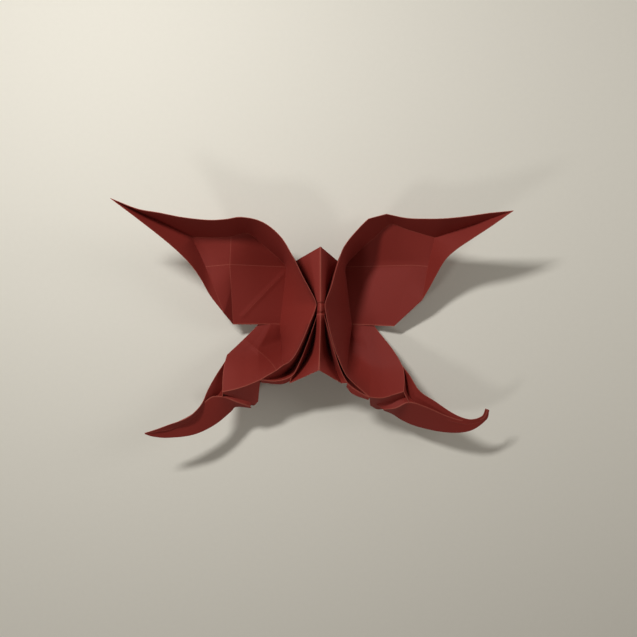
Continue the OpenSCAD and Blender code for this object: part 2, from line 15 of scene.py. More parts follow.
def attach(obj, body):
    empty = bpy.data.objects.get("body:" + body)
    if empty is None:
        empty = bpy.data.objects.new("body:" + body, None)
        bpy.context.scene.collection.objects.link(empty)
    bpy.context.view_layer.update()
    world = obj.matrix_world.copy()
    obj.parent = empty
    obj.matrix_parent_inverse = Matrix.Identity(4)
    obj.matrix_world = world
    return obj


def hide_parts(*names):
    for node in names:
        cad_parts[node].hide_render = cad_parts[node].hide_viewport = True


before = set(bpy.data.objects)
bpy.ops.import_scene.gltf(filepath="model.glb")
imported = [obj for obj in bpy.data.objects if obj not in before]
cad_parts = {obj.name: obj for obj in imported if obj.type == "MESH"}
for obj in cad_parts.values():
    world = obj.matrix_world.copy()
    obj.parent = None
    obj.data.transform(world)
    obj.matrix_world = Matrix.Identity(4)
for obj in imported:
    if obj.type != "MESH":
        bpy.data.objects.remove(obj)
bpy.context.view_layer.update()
print("nodes in the solid model:", len(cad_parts))

# %% [markdown]
# ## Camera first
# The butterfly was photographed from straight above. A camera without any turn looks down
# along -Z, with +Y at the top of the picture, so only its place and its lens are needed.
# The nearer folds look bigger from so close, and the lens has to follow that.

# %% Camera
MM = 0.001
CAMERA_PLACE = (-0.6, -4.2, 206)
SENSOR_WIDTH = 36
LENS = 37.74
NEAREST_SEEN = 10

camera_data = bpy.data.cameras.new("camera")
camera_data.sensor_width = SENSOR_WIDTH
camera_data.lens = LENS
camera_data.clip_start = NEAREST_SEEN * MM
camera = bpy.data.objects.new("camera", camera_data)
camera.location = [c * MM for c in CAMERA_PLACE]
bpy.context.scene.collection.objects.link(camera)
bpy.context.scene.camera = camera
view_width = CAMERA_PLACE[2] * SENSOR_WIDTH / LENS
print(f"the picture is {view_width:.0f} mm wide on the table")

# %% [markdown]
# ## Sizes of the sheet
# All sizes are in millimetres and the same as in the solid model. Each place is written as
# out from the middle line, ahead of the waist, and up from the table. Both wings are drawn
# on the right-hand side, and the left one is mirrored at the end.
# The drawn paper is thinner than the solid model's, because here nothing has to hold together.

# %% Sizes of the sheet and the body
PAPER_T = 0.15
WAIST_H = 17
ROLL_L = 3.8
ROLL_HALF_W = 1.1
PLEAT_DEPTH = 7
VALLEY_H = 10

HEAD_END = (0, 16.3, 15.5)
WAIST_FRONT = (0, 0.6, WAIST_H)
WAIST_BACK = (0, 0.6 - ROLL_L, WAIST_H)
ABDOMEN_END = (-0.4, -18.8, 17.5)
print("head to abdomen:", HEAD_END[1] - ABDOMEN_END[1], "mm")

# %% Sizes of the wings
FOOT_AHEAD = 11.7
FOOT_BEHIND = 11
STEP_BEHIND = 6
STEP_H = 1.1
LOW_H = 0.27

WINGS = {
    "left": {
        "tip": (56.7, 28.2, 26),
        "hump": (22.3, 24.2, 19),
        "floor_corner": (37.5, 19.5, 12),
        "trail": (26.3, -5.9, 5.4),
        "hind": (27.9, -25.1, 15.5),
        "tail": (49.8, -36.7, 17),
        "foot_out": 11.7,
        "head_half": 7.3,
        "abdomen_half": 8.9,
    },
    "right": {
        "tip": (52.4, 25.1, 24.5),
        "hump": (18.6, 25.3, 17.5),
        "floor_corner": (33.4, 19.4, 11),
        "trail": (22.3, -6.5, 4.1),
        "hind": (23.8, -25.2, 14.5),
        "tail": (47.9, -30.2, 14.5),
        "foot_out": 8.8,
        "head_half": 5,
        "abdomen_half": 6,
    },
}
print("wing to wing:", WINGS["left"]["tip"][0] + WINGS["right"]["tip"][0], "mm")

# %% [markdown]
# ## Drawing a fold line
# A fold in paper is a clean sweep, seldom a straight line once the sheet is cupped. We give
# a few points and lay a smooth cubic through them. Every span leaves a point in the direction
# of its two neighbours. A fourth number of 1 marks a sharp corner, where the sweep starts anew.
# `through` places the points as shares of the straight way from a to b plus a small shift,
# and a last number of 1 in such a bow marks a corner too.

# %% Line helpers
SPAN = 6


def on(a, b, share, shift=(0, 0, 0)):
    a, b = np.array(a[:3], float), np.array(b[:3], float)
    return a + share * (b - a) + np.array(shift, float)


def moved(place, shift):
    return np.array(place, float) + np.array(shift, float)


def through(a, b, bows):
    return [(*on(a, b, bow[0], bow[1:4]), *bow[4:]) for bow in bows]


def corner(point):
    return (*point[:3], 1)


def unit(v):
    return v / np.linalg.norm(v)


def smooth(anchors, steps=SPAN):
    """A smooth line through the anchors, with the same number of steps in every span."""
    sharp = [len(a) > 3 for a in anchors]
    p = np.array([a[:3] for a in anchors], float)
    last = len(p) - 1

    def slope(i):
        ahead, behind = p[min(i + 1, last)], p[max(i - 1, 0)]
        return (ahead - behind) / (np.linalg.norm(ahead - p[i]) + np.linalg.norm(p[i] - behind))

    line = []
    for i in range(last):
        a, b = p[i], p[i + 1]
        length = np.linalg.norm(b - a)
        start = length * (unit(b - a) if i == 0 or sharp[i] else slope(i))
        end = length * (unit(b - a) if i + 1 == last or sharp[i + 1] else slope(i + 1))
        for k in range(steps):
            t = k / steps
            line.append(
                (2 * t**3 - 3 * t**2 + 1) * a
                + (t**3 - 2 * t**2 + t) * start
                + (3 * t**2 - 2 * t**3) * b
                + (t**3 - t**2) * end
            )
    line.append(p[last])
    return np.array(line)


def smooth_between(stops, bows):
    """A smooth line from stop to stop, with one list of bows for each way between two stops."""
    line = [stops[0]]
    for start, end, way in zip(stops, stops[1:], bows):
        line += through(start, end, way) + [end]
    return smooth(line)


def straight(a, b, steps):
    return np.array([on(a, b, k / steps) for k in range(steps + 1)])


def spans(line, start, end):
    """The part of a line from one given anchor to another."""
    return line[start * SPAN : end * SPAN + 1]


def joined(*lines):
    """Lines that follow each other, with the shared points taken once."""
    return np.concatenate([line if k == 0 else line[1:] for k, line in enumerate(lines)])


print("halfway from the waist to the end of the head:", on(WAIST_FRONT, HEAD_END, 0.5), "mm")

# %% [markdown]
# ## The lines of one wing
# These are the folds and cut edges that can be read from the real butterfly: the leading edge
# and the rim of the two lobes beside the body, the fold on which the wing stands, the valley
# that runs out to the tip, the hindwing and its tail, and the lip beside the abdomen.
# Left and right were folded by hand and differ a little, so each has its own bows.
# Some places lie between two others: a share of the way, plus a small shift. A number such as
# RIM_WAIST says which of a line's points is the waist, counted from the start of the line.

# %% Places
WALL_GAP = 0.2
WALL_AHEAD = 0.1
FRONT_TOE_IN = 1
BACK_TOE_OUT = 0.3
STEP_TOE_OUT = 0.8

PLACES_BETWEEN = {
    "left": {
        "crease_end": ("trail", "floor_corner", 0.15, (0.6, -0.5, 2.3)),
        "edge_turn": ("trail", "crease_end", 0.1, (0, 0, 0)),
        "rim_meet": ("waist", "hind", 0.45, (-2.8, -6.1, 0.5)),
        "rim_turn": ("waist", "hind", 0.7, (-2.9, -3.9, 1.8)),
        "hind_start": ("foot_step", "hind", 0.2, (3.3, 4, -1.6)),
        "tail_start": ("foot_step", "hind", 0.8, (3.2, 4.5, -2.7)),
        "tail_hinge": ("foot_step", "hind", 0.9, (1.9, 2, -1.3)),
        "pleat_in": ("foot_step", "foot_front", 0.25, (0, 0, -0.2)),
        "pleat_out": ("foot_step", "trail", 0.3, (0, 4, -0.5)),
    },
    "right": {
        "crease_end": ("trail", "floor_corner", 0.45, (2.9, -3.9, 0.3)),
        "edge_turn": ("trail", "crease_end", 0.1, (0, 0, 0)),
        "rim_meet": ("waist", "hind", 0.5, (-5.1, -7.9, 0.4)),
        "rim_turn": ("waist", "hind", 0.75, (-4.3, -7.7, 1)),
        "hind_start": ("foot_step", "hind", 0.2, (4.2, 3.1, -1.5)),
        "tail_start": ("foot_step", "hind", 0.8, (3.1, 3.3, -2.8)),
        "tail_hinge": ("foot_step", "hind", 0.9, (2, 1.5, -1.4)),
        "pleat_in": ("foot_step", "foot_front", 0.25, (0, 0, -0.2)),
        "pleat_out": ("foot_step", "trail", 0.35, (0, 4, -0.5)),
    },
}


def places(side):
    w = dict(WINGS[side])
    w["waist"] = (ROLL_HALF_W + WALL_GAP, WALL_AHEAD, WAIST_H)
    w["foot_front"] = (w["foot_out"] - FRONT_TOE_IN, FOOT_AHEAD, LOW_H)
    w["foot_back"] = (w["foot_out"] + BACK_TOE_OUT, -FOOT_BEHIND, LOW_H)
    w["foot_step"] = (w["foot_out"] + STEP_TOE_OUT, -STEP_BEHIND, STEP_H)
    for name, (start, end, share, shift) in PLACES_BETWEEN[side].items():
        w[name] = on(w[start], w[end], share, shift)
    return w


print("named places on a wing:", len(places("left")))

# %% Rim
RIM_LOBE = 9
RIM_WAIST = 12
RIM_MEET = 19
RIM_TURN = 22
RIM_HIND = 25
RIM_BOWS = {
    "left": [
        [[0.2, 0, -1.8, 0], [0.36, 0, -2, -0.2], [0.54, 0, -2.3, -0.6], [0.74, 0, -2, -0.8],
         [0.87, 0, -1.2, -0.5]],
        [[0.15, -2.6, 2.4, -0.2], [0.35, -3.4, 3.4, -0.2], [0.55, -2.6, 2.9, -0.2],
         [0.77, -1.2, 1.7, 0], [0.88, -0.8, 0.9, -0.1]],
        [[0.13, -0.7, -0.1, 0.3], [0.32, -1, -0.3, 0.5], [0.52, -1.4, -0.4, 0.7],
         [0.74, -1.6, -0.4, 0.7], [0.88, -1.4, -0.3, 0.7], [0.95, -0.7, -0.3, 0.4]],
        [[0.32, 0, -0.2, 0], [0.66, 0, -0.1, 0]],
        [[0.4, 0, -0.4, 0.5], [0.73, 0, -0.3, 0.6]],
    ],
    "right": [
        [[0.19, 0, -0.5, 0], [0.35, 0, -1.2, 0.1], [0.53, 0, -1.6, -0.4], [0.69, 0, -1.4, -1.5],
         [0.84, 0.2, -1, -1.8]],
        [[0.16, -2.3, 2.7, 0.1, 1], [0.25, -3.1, 2.7, 0], [0.5, -3.2, 3.6, 0],
         [0.7, -1.8, 3.1, -0.1], [0.87, -0.5, 1.5, 0.1]],
        [[0.13, -0.6, 0, 0.5], [0.3, -0.9, -0.1, 0.7], [0.48, -1.1, 0, 1], [0.65, -1.1, 0, 1],
         [0.82, -0.8, 0.1, 0.9], [0.92, -0.4, -0.1, 0.5]],
        [[0.32, 0, -0.2, 0], [0.66, 0, -0.1, 0]],
        [[0.37, 0, -0.8, 0], [0.7, 0, -0.4, 0]],
    ],
}


def rim_line(side, w):
    """Leading edge, hump, waist and rim, from the wingtip round to the hindwing corner."""
    hump = w["hump"] if side == "left" else corner(w["hump"])
    turn = w["rim_turn"] if side == "left" else corner(w["rim_turn"])
    stops = [w["tip"], hump, w["waist"], w["rim_meet"], turn, w["hind"]]
    return smooth_between(stops, RIM_BOWS[side])


for side in WINGS:
    steps_on_rim = np.diff(rim_line(side, places(side)), axis=0)
    print(f"{side} rim, from tip to hindwing: {np.linalg.norm(steps_on_rim, axis=1).sum():.0f} mm")

# %% Foot
FOOT_CORNER = 3
FOOT_CREASE = 5
FOOT_BEND = 8
FOOT_FRONT = 9
FOOT_STEP = 14
FOOT_MEET = 19
TIP_BOWS = [[0.35, 0, 0, 0], [0.65, 0, 0, 0]]
STEP_BOWS = [[0.28, -0.2, 0, 0.1], [0.5, -0.2, 0, 0.3], [0.68, -0.2, 0, 0.4], [0.85, -0.1, 0, 0.4]]
BACK_BOWS = [[0.5, 0.1, 0, -0.2]]
FOOT_BOWS = {
    "left": [
        TIP_BOWS,
        [[0.24, -0.1, 1.7, 2.4], [0.42, -0.1, 3.5, 3.8], [0.6, 0, 6, 5.2], [0.76, 0, 4.1, 3.6],
         [0.93, 0, 1.7, 1.6]],
        STEP_BOWS,
        BACK_BOWS,
        [[0.4, 0.4, -0.6, -4.2], [0.8, 0.5, -0.2, -4.2]],
    ],
    "right": [
        TIP_BOWS,
        [[0.19, 0, 2.8, 2.6], [0.36, 0, 5.3, 5.1], [0.51, 0, 7.6, 7.5], [0.67, 0, 5.7, 5.5],
         [0.87, 0, 3, 2.4]],
        STEP_BOWS,
        BACK_BOWS,
        [[0.35, 0, 0, -3.6], [0.75, 0, 0, -3.6]],
    ],
}


def foot_line(side, w):
    """Valley of the tip, edge of the floor and the fold that stands on the table."""
    stops = [w["tip"], corner(w["floor_corner"]), w["foot_front"], corner(w["foot_step"]),
             w["foot_back"], w["rim_meet"]]
    return smooth_between(stops, FOOT_BOWS[side])


print("lowest point of the left foot:", foot_line("left", places("left"))[:, 2].min(), "mm")

# %% Outer edge and outer fold of the forewing
EDGE_CREASE = 2
EDGE_END = 4
OUTER_BOWS = {
    "left": [[0.21, -0.9, 1.2, 1.1], [0.4, -1.6, 2.1, 0.9], [0.52, -1.7, 2.6, 0.7],
             [0.64, -1.6, 2.7, 0.4], [0.76, -0.8, 2.3, 0.1], [0.87, 0, 1, -0.3]],
    "right": [[0.22, -1.2, 0.9, 1.2], [0.42, -1.2, 2.7, 2.4], [0.57, -1.2, 3.9, 2.3],
              [0.7, -1, 4.4, 2.4], [0.82, -0.2, 3.6, 1.6], [0.92, 0.3, 2.1, 0.7]],
}
FLOOR_EDGE_BOWS = {
    "left": [[0.2, 0.2, 0.8, -0.9], [0.42, 0.1, 0.8, -0.8], [0.72, 0, 0.9, 0.2]],
    "right": [[0.2, -0.1, 0, -0.3], [0.45, -0.2, 0, -0.9], [0.74, -0.1, 0, -0.8]],
}


def outer_edge(side, w):
    return smooth_between([w["tip"], w["crease_end"]], [OUTER_BOWS[side]])


def outer_fold(side, w):
    return smooth_between([w["floor_corner"], w["crease_end"]], [FLOOR_EDGE_BOWS[side]])


# %% Outer edge of the hindwing
HIND_TAIL = 4
HIND_END = 6
HIND_BOWS = {
    "left": [[0.4, 3.5, 4.2, -2.3], [0.7, 4.4, 4.4, -2.6, 1]],
    "right": [[0.4, 3.6, 3.9, -2.3], [0.6, 3.5, 4, -2.5]],
}


def hind_outer(side, w):
    bows = through(w["foot_step"], w["hind"], HIND_BOWS[side])
    start = [w["pleat_out"], w["hind_start"]]
    return smooth(start + bows + [w["tail_start"], w["tail_hinge"], w["hind"]])


# %% Tail
KEEL_ROOT = 1
RIDGE_ROOT = 2
TAIL_END = 7
TAIL_BOWS = {
    "left": {
        "outer": [[0.15, -0.7, -1.3, 1.1], [0.3, -2.2, -1.9, 2.2], [0.45, -3.8, -3, 3.1],
                  [0.6, -3.6, -3.4, 2.8], [0.8, -2.1, -1.7, 1.5], [0.92, -0.9, -0.7, 0.6]],
        "keel": [[0.1, -2, -2.3, -1.1], [0.2, -3.6, -4, -0.8], [0.35, -4.5, -4.3, -0.2],
                 [0.5, -3.3, -5.5, 0.8], [0.75, -2.3, -3.8, 0.3], [0.9, -1, -1.6, 0.3]],
        "ridge": [[-0.33, -0.2, -8.6, -3.9], [-0.17, -0.1, -5.3, -2.5], [0.01, 0, -1.4, -0.6],
                  [0.2, -0.9, 0.7, -0.5], [0.4, -0.2, -1.7, -1.1], [0.7, 0, -1.5, -0.7],
                  [0.87, 0, -0.6, -0.3]],
        "lower": [[-0.33, -0.4, -9.1, -4.4], [-0.15, 0.2, -6.7, -4.6], [-0.05, -0.6, -6.9, -5],
                  [0.2, -1.2, -7.9, -4.4], [0.45, -0.9, -7.5, -3.3], [0.75, -0.4, -4.6, -2.1],
                  [0.92, -0.1, -2, -1]],
    },
    "right": {
        "outer": [[0.12, -0.9, -1.3, 1.2], [0.28, -2.1, -3.7, 2.7], [0.45, -2, -4.4, 2.6],
                  [0.68, -1.7, -5.4, 1.1], [0.84, -1, -5, 0], [0.95, -0.3, -2.7, -0.4]],
        "keel": [[0.08, -1.1, -2.2, -0.6], [0.18, -3, -5.7, 0.2], [0.35, -4.1, -7.2, 0.8],
                 [0.6, -2.9, -7.6, 0.5], [0.8, -1.5, -6.9, -0.5], [0.95, -0.1, -4.1, -1.1]],
        "ridge": [[-0.22, -0.3, -6.5, -2.7], [-0.08, -0.2, -5.3, -1.6], [0.06, 0.2, -2.8, -0.4],
                  [0.26, 0, -3, -0.2], [0.55, 0.1, -4.6, -0.9], [0.77, -0.1, -4.7, -1.2],
                  [0.95, 0.1, -3, -1]],
        "lower": [[-0.22, -0.1, -6.9, -3.4], [-0.1, -0.3, -7.6, -5.2], [0.04, -0.5, -9, -6.7],
                  [0.22, -0.2, -10, -6.7], [0.55, 0.2, -9.7, -4.6], [0.82, 0, -7.5, -2.6],
                  [0.98, 0.6, -3.2, -1.5]],
    },
}
TAIL_ENDS = {
    "left": {"outer": (0, 0.1, 0.1), "keel": (0, -0.1, -0.2), "ridge": (0, 0, 0),
             "lower": (0, -0.2, -0.1)},
    "right": {"outer": (-0.6, 0.2, 0), "keel": (0, -0.2, -0.2), "ridge": (0, 0, 0),
              "lower": (0.5, -0.3, -0.1)},
}


def tail_line(side, w, name, start):
    """Outer edge and keel begin at their start, ridge and lower edge begin under the hindwing."""
    root = [w[start]] if start == "tail_start" else []
    bows = through(w[start], w["tail"], TAIL_BOWS[side][name])
    return smooth(root + bows + [moved(w["tail"], TAIL_ENDS[side][name])])


# %% Lip and pocket beside the abdomen
LIP_END = 10
LIP_HEM = 6
BEHIND_ROLL = 0.4
LIP_DROP = 1
POCKET_GAP = 0.1
LIP_BOWS = {
    "left": [[0.4, -4.1, -2, -1.6], [0.7, -5.7, -3.1, -2.5], [0.8, -5.5, -3.6, -2.9],
             [0.9, -2.8, -2.7, -1.7]],
    "right": [[0.35, -2.9, -0.4, -0.2], [0.65, -4.1, -0.8, -0.5], [0.82, -3.9, -0.8, -0.7],
              [0.92, -2.3, -0.4, -0.7]],
}
POCKET_BOWS = {
    "left": [[0.4, -4.1, -1.5, -9.5], [0.7, -5.9, -1.5, -9.5], [0.8, -4.7, -2.4, -7.9],
             [0.92, -2.8, -1.5, -4.1]],
    "right": [[0.35, -2.8, -0.5, -8.2], [0.65, -4.4, 0.8, -7.3], [0.82, -3.9, 0.4, -5.2],
              [0.92, -2.3, 0, -2.7]],
}


def beside_abdomen(start, w, bows):
    """From the waist round to the turn of the rim, with twice the usual steps."""
    line = [start] + through(w["waist"], w["rim_turn"], bows) + [w["rim_turn"]]
    return smooth(line, 2 * SPAN)


def lip_line(side, w):
    start = (ROLL_HALF_W, WAIST_BACK[1] - BEHIND_ROLL, WAIST_H - LIP_DROP)
    return beside_abdomen(start, w, LIP_BOWS[side])


def pocket_line(side, w):
    start = (ROLL_HALF_W + POCKET_GAP, WAIST_BACK[1] - BEHIND_ROLL, WAIST_H - PLEAT_DEPTH)
    return beside_abdomen(start, w, POCKET_BOWS[side])


# %% Valleys beside the body
BEHIND_FRONT = 0.3
HEAD_VALLEY_BACK = 3.6
ABDOMEN_VALLEY_BACK = 4
ABDOMEN_VALLEY_DROP = 3.5
ABDOMEN_VALLEY_LIFT = 1
VALLEY_BOWS = {
    "left": [[0.35, -2, 0.8, -4.5], [0.7, -3, 2.2, -5.5]],
    "right": [[0.35, -1.1, 0.8, -4.5], [0.7, -1.6, 2.2, -5.5]],
}


def head_valley(w, steps):
    start = (ROLL_HALF_W + WALL_GAP, WAIST_FRONT[1] - BEHIND_FRONT, WAIST_H - PLEAT_DEPTH)
    return straight(start, (w["head_half"], HEAD_END[1] - HEAD_VALLEY_BACK, VALLEY_H), steps)


def abdomen_valley(side, w, steps=SPAN):
    """It dips deep close beside the ridge, and flares out and up near the end of the body."""
    bottom = WAIST_H - PLEAT_DEPTH + ABDOMEN_VALLEY_LIFT
    start = (ROLL_HALF_W, WAIST_BACK[1] - BEHIND_ROLL, bottom)
    end = (w["abdomen_half"], ABDOMEN_END[1] - ABDOMEN_VALLEY_BACK,
           ABDOMEN_END[2] - ABDOMEN_VALLEY_DROP)
    return smooth([start] + through(start, end, VALLEY_BOWS[side]) + [end], steps)


# %% Ridge of the pinched roll
FRONT_PINCH = [(0, -0.5, -0.5), (0, -1.1, 0.1)]
BACK_PINCH = [(0, 1.1, 0.1), (0, 0.5, -0.4)]


def roll_ridge():
    """The pinched roll at the waist, with a small dent at both pinches."""
    front = [moved(WAIST_FRONT, shift) for shift in FRONT_PINCH]
    back = [moved(WAIST_BACK, shift) for shift in BACK_PINCH]
    return smooth([WAIST_FRONT] + front + back + [WAIST_BACK])


# %% All lines of both wings
def wing_lines(side, w):
    ridge = tail_line(side, w, "ridge", "hind")
    hind_line = hind_outer(side, w)
    return {
        "rim": rim_line(side, w),
        "foot": foot_line(side, w),
        "outer edge": outer_edge(side, w),
        "outer fold": outer_fold(side, w),
        "trail fold": straight(w["trail"], w["foot_step"], SPAN),
        "hind outer": hind_line,
        "tail hinge": spans(hind_line, HIND_TAIL, HIND_END),
        "tail outer": tail_line(side, w, "outer", "tail_start"),
        "keel": tail_line(side, w, "keel", "tail_start"),
        "ridge": ridge,
        "tail top": joined(straight(w["hind"], ridge[RIDGE_ROOT * SPAN], SPAN),
                           spans(ridge, RIDGE_ROOT, TAIL_END)),
        "lower": tail_line(side, w, "lower", "hind"),
        "lip": lip_line(side, w),
        "pocket": pocket_line(side, w),
        "abdomen valley": abdomen_valley(side, w),
    }


drawn_wings = {side: (places(side), wing_lines(side, places(side))) for side in WINGS}
for side, (w, line) in drawn_wings.items():
    print(f"{side} wing: {len(line)} lines, {sum(map(len, line.values()))} points")

# %% [markdown]
# ## Faces between the lines
# Paper bends in one direction at a time, so most faces are ruled: straight across from one
# fold to the next. Where four lines close a face, it is stretched between all four, which
# is called a Coons patch. Each face is a grid of points. With every point we keep how far it
# is from the four sides of its face, because the folds are worn and the material needs that.
# A mountain fold is rubbed most, a rim and a free end less, a flattened crease a little, and
# a valley fold is sheltered.

# %% Face helpers
ACROSS = 8
TAIL_ACROSS = 6
SMALL_ACROSS = 4
HEM_ACROSS = 3
FAR_AWAY = 9.0
MIRROR = np.array([-1, 1, 1])
sheet_faces = []


def stretched(near, far, first, last):
    m, n = len(near) - 1, len(first) - 1
    u = np.linspace(0, 1, m + 1)[:, None, None]
    v = np.linspace(0, 1, n + 1)[None, :, None]
    between = (1 - v) * near[:, None] + v * far[:, None] + (1 - u) * first[None] + u * last[None]
    corners = (1 - u) * (1 - v) * near[0] + (1 - u) * v * far[0]
    return between - corners - u * (1 - v) * near[-1] - u * v * far[-1]


def ruled(near, far, n=ACROSS):
    return stretched(near, far, straight(near[0], far[0], n), straight(near[-1], far[-1], n))


# %% Soft creases
CREASE_H = 0.16
CREASE_W = 1.1
FINER = 3


def finer(grid):
    """The same grid with points in between, so that a crease can run slantwise over it."""
    for axis in (0, 1):
        last = grid.shape[axis] - 1
        place = np.linspace(0, last, FINER * last + 1)
        low = np.minimum(place.astype(int), last - 1)
        share = (place - low).reshape([-1 if k == axis else 1 for k in range(3)])
        grid = (1 - share) * np.take(grid, low, axis) + share * np.take(grid, low + 1, axis)
    return grid


def creased(grid, a, b):
    """Raise a soft crease from a to b, seen from above, and give every point's distance to it."""
    a, b = np.array(a, float), np.array(b, float)
    flat = grid[..., :2]
    share = ((flat - a) @ (b - a) / np.dot(b - a, b - a)).clip(0, 1)[..., None]
    distance = np.linalg.norm(flat - a - share * (b - a), axis=-1)
    raised = grid.copy()
    raised[..., 2] += CREASE_H * (1 - distance / CREASE_W).clip(0, 1)
    return raised, distance


# %% Keeping a face
MOUNTAIN = 1.0
RIM = 0.5
OUTER_EDGE = 0.4
CREASE = 0.32
FREE_END = 0.3
VALLEY = 0


def lengths_along(grid, axis):
    """How far every point of a grid is from its first side, measured along the paper."""
    steps = np.linalg.norm(np.diff(grid, axis=axis), axis=2)
    return np.insert(np.cumsum(steps, axis=axis), 0, 0, axis=axis)


def add_face(side, name, grid, worn=(0, 0, 0, 0), crease=None):
    """Keep a face. `worn` says how worn its near, far, first and last side is, from 0 to 1."""
    if crease:
        grid, from_crease = creased(finer(grid), *crease)
    along, across = lengths_along(grid, 0), lengths_along(grid, 1)
    from_side = [across, across[:, -1:] - across, along, along[-1:] - along]
    reach = [d / k if k else np.full_like(d, FAR_AWAY) for d, k in zip(from_side, worn)]
    if crease:
        reach[0] = np.minimum(reach[0], from_crease / CREASE)
    if side == "left":
        grid = grid * MIRROR
    sheet_faces.append({"name": f"{side} {name}", "grid": grid, "reach": np.stack(reach, axis=-1)})


# %% [markdown]
# ## Forewings
# The wing is a shallow dish. Its inner wall is one long sweep from the tip, over the hump,
# past the waist and round to the hindwing. The floor has two old creases in it, one along
# and one across, so it is made of four flat panels that meet where those creases cross.
# A third, slanting crease was pressed into the floor of the left wing.

# %% Walls of the forewing
def forewing_walls(side, line):
    inner = ruled(spans(line["rim"], 0, RIM_MEET), line["foot"])
    add_face(side, "inner wall", inner, (RIM, VALLEY, 0, 0))
    valley = joined(spans(line["foot"], 0, FOOT_CORNER), line["outer fold"])
    add_face(side, "outer wall", ruled(line["outer edge"], valley), (OUTER_EDGE, VALLEY, 0, 0))


for side, (w, line) in drawn_wings.items():
    forewing_walls(side, line)
print(len(sheet_faces), "faces so far")

# %% Floor of the forewing
CROSSING = {"left": (0.31, (0.6, 0, -0.3)), "right": (0.36, (3.6, 0, -2.2))}
ALONG_WORN = {"left": CREASE, "right": 0}
SLANT_CREASE = {"left": ((11.2, 9.8), (23.4, -3.4)), "right": None}


def steps_between(start, end):
    return (end - start) * SPAN


def forewing_floor(side, w, line):
    foot, edge, worn = line["foot"], line["outer fold"], ALONG_WORN[side]
    top, trail = foot[FOOT_CREASE * SPAN], w["trail"]
    crossing = on(top, trail, *CROSSING[side])
    crease_top = straight(top, crossing, steps_between(FOOT_BEND, FOOT_FRONT))
    crease_low = straight(crossing, trail, steps_between(FOOT_FRONT, FOOT_STEP))
    crease_in = straight(crossing, foot[FOOT_FRONT * SPAN], steps_between(FOOT_CREASE, FOOT_BEND))
    crease_out = straight(edge[EDGE_CREASE * SPAN], crossing, steps_between(FOOT_CORNER, FOOT_CREASE))
    upper_strip = stretched(
        spans(edge, 0, EDGE_CREASE)[::2], crease_top,
        spans(foot, FOOT_CORNER, FOOT_CREASE), crease_out)
    add_face(side, "upper strip", upper_strip, (VALLEY, worn, VALLEY, CREASE))
    beyond_edge = straight(w["crease_end"], w["edge_turn"], 3 * SPAN)
    lower_strip = stretched(
        joined(spans(edge, EDGE_CREASE, EDGE_END), beyond_edge), crease_low,
        crease_out, straight(w["edge_turn"], trail, 2 * SPAN))
    add_face(side, "lower strip", lower_strip, (VALLEY, worn, CREASE, OUTER_EDGE))
    upper = stretched(
        crease_top, spans(foot, FOOT_BEND, FOOT_FRONT),
        spans(foot, FOOT_CREASE, FOOT_BEND), crease_in)
    add_face(side, "upper floor", upper, (worn, VALLEY, VALLEY, CREASE))
    lower = stretched(
        crease_low, spans(foot, FOOT_FRONT, FOOT_STEP),
        crease_in, straight(trail, foot[FOOT_STEP * SPAN], steps_between(FOOT_CREASE, FOOT_BEND)))
    add_face(side, "lower floor", lower, (worn, VALLEY, CREASE, MOUNTAIN), SLANT_CREASE[side])
    pleat = ruled(line["trail fold"], straight(w["pleat_out"], w["pleat_in"], SPAN))
    add_face(side, "hidden pleat", pleat, (MOUNTAIN, VALLEY, 0, 0))


for side, (w, line) in drawn_wings.items():
    forewing_floor(side, w, line)
print(len(sheet_faces), "faces so far")

# %% [markdown]
# ## Hindwings and back walls
# The hindwing is one curved cup. Behind its inner wall the sheet turns over the rim, goes down
# into a deep pocket and up again to a lip beside the abdomen, then down to the valley.
# A soft old crease runs across the left hindwing.

# %% Hindwings
HIND_CREASE = {"left": ((22.6, -10.8), (12.4, -18.9)), "right": None}


def hindwing(side, w, line):
    near = joined(straight(w["pleat_in"], w["foot_step"], SPAN),
                  spans(line["foot"], FOOT_STEP, FOOT_MEET))
    first = straight(w["pleat_in"], w["pleat_out"], steps_between(RIM_MEET, RIM_HIND))
    cup = stretched(near, line["hind outer"], first, spans(line["rim"], RIM_MEET, RIM_HIND))
    add_face(side, "hindwing", cup, (VALLEY, RIM, 0, RIM), HIND_CREASE[side])


for side, (w, line) in drawn_wings.items():
    hindwing(side, w, line)
print(len(sheet_faces), "faces so far")

# %% Back walls
HEM_SHIFTS = [(3, (-0.3, -1.2, -1.2)), (4, (-1.4, -1, -1.4)), (5, (-0.2, -0.9, -1))]


def back_walls(side, w, line):
    rim, lip, pocket = line["rim"], line["lip"], line["pocket"]
    head = head_valley(w, steps_between(RIM_LOBE, RIM_WAIST))[::-1]
    front = ruled(spans(rim, RIM_LOBE, RIM_WAIST), head)
    add_face(side, "front back wall", front, (RIM, VALLEY, 0, 0))
    add_face(side, "pocket wall", ruled(spans(rim, RIM_WAIST, RIM_TURN), pocket), (RIM, VALLEY, 0, 0))
    add_face(side, "lip wall", ruled(lip, pocket), (MOUNTAIN, VALLEY, 0, 0))
    abdomen = ruled(spans(lip, 0, LIP_HEM), abdomen_valley(side, w, 2 * SPAN))
    add_face(side, "abdomen wall", abdomen, (MOUNTAIN, VALLEY, 0, 0))
    hem = smooth([moved(lip[2 * k * SPAN], shift) for k, shift in HEM_SHIFTS], 2 * SPAN)
    hem_face = ruled(spans(lip, LIP_HEM, LIP_END), hem, HEM_ACROSS)
    add_face(side, "lip hem", hem_face, (MOUNTAIN, 0, 0, 0))


for side, (w, line) in drawn_wings.items():
    back_walls(side, w, line)
print(len(sheet_faces), "faces so far")

# %% [markdown]
# ## Tails
# Each tail is a narrow strip folded lengthwise along a keel and a ridge. A panel below the rim
# of the hindwing is folded under and carries on behind it.

